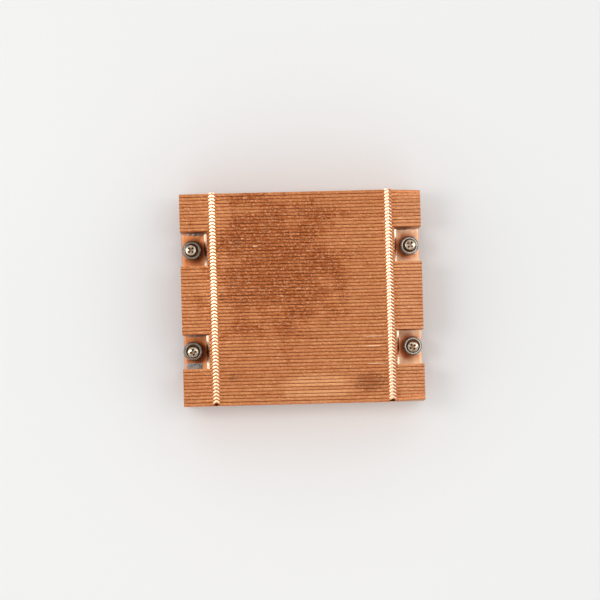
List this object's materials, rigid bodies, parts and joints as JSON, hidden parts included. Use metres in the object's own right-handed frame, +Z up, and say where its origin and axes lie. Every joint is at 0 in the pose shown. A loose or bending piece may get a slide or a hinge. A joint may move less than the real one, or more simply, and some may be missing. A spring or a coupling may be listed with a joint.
{
  "type": "passive server processor heatsink",
  "caption": "Low copper heatsink: folded fins interlocked in two columns on a copper base, notched at the sides for sprung captive screws.",
  "frame": {"origin": "on the floor the screw tips stand on, under the middle of the fin stack", "axes": "+Z up, away from the processor; X along the fins and the air flow, which is the longer side; +Y to the rear, the side that the tongues of the fins point to"},
  "size_m": [0.108, 0.0955, 0.0318],
  "materials": {
    "base_copper": "satin milled copper",
    "fin_copper": "satin copper sheet, lightly tarnished",
    "solder": "dull solder",
    "screw_steel": "bright nickel-plated steel",
    "clip_steel": "dark spring steel",
    "washer_steel": "satin grey steel",
    "spring_steel": "plated spring wire"
  },
  "bodies": {
    "heatsink": {"base_plate": "base_copper", "solder_residue": "solder", "fins_front": "fin_copper", "fins_front_notched": "fin_copper", "fins_middle": "fin_copper", "fins_rear_notched": "fin_copper", "fins_rear": "fin_copper", "spring_rear_left": "spring_steel", "spring_rear_right": "spring_steel", "spring_front_left": "spring_steel", "spring_front_right": "spring_steel"},
    "washer_rear_left": {"cup_washer_rear_left": "washer_steel"},
    "screw_rear_left": {"captive_screw_rear_left": "screw_steel", "retaining_clip_rear_left": "clip_steel"},
    "washer_rear_right": {"cup_washer_rear_right": "washer_steel"},
    "screw_rear_right": {"captive_screw_rear_right": "screw_steel", "retaining_clip_rear_right": "clip_steel"},
    "washer_front_left": {"cup_washer_front_left": "washer_steel"},
    "screw_front_left": {"captive_screw_front_left": "screw_steel", "retaining_clip_front_left": "clip_steel"},
    "washer_front_right": {"cup_washer_front_right": "washer_steel"},
    "screw_front_right": {"captive_screw_front_right": "screw_steel", "retaining_clip_front_right": "clip_steel"}
  },
  "joints": [
    {"name": "press_rear_left", "type": "slide", "parent": "heatsink", "child": "washer_rear_left", "axis": [0, 0, 1], "range_m": [-0.0035, 0], "stiffness_N_per_m": 17000, "springref_m": 0.0018, "deforming": ["spring_rear_left"]},
    {"name": "turn_rear_left", "type": "hinge", "parent": "washer_rear_left", "child": "screw_rear_left", "pos_m": [-0.0495, 0.02303, 0.0178], "axis": [0, 0, 1], "continuous": true},
    {"name": "press_rear_right", "type": "slide", "parent": "heatsink", "child": "washer_rear_right", "axis": [0, 0, 1], "range_m": [-0.0035, 0], "stiffness_N_per_m": 17000, "springref_m": 0.0018, "deforming": ["spring_rear_right"]},
    {"name": "turn_rear_right", "type": "hinge", "parent": "washer_rear_right", "child": "screw_rear_right", "pos_m": [0.0495, 0.02303, 0.0178], "axis": [0, 0, 1], "continuous": true},
    {"name": "press_front_left", "type": "slide", "parent": "heatsink", "child": "washer_front_left", "axis": [0, 0, 1], "range_m": [-0.0035, 0], "stiffness_N_per_m": 17000, "springref_m": 0.0018, "deforming": ["spring_front_left"]},
    {"name": "turn_front_left", "type": "hinge", "parent": "washer_front_left", "child": "screw_front_left", "pos_m": [-0.0495, -0.02303, 0.0178], "axis": [0, 0, 1], "continuous": true},
    {"name": "press_front_right", "type": "slide", "parent": "heatsink", "child": "washer_front_right", "axis": [0, 0, 1], "range_m": [-0.0035, 0], "stiffness_N_per_m": 17000, "springref_m": 0.0018, "deforming": ["spring_front_right"]},
    {"name": "turn_front_right", "type": "hinge", "parent": "washer_front_right", "child": "screw_front_right", "pos_m": [0.0495, -0.02303, 0.0178], "axis": [0, 0, 1], "continuous": true}
  ]
}
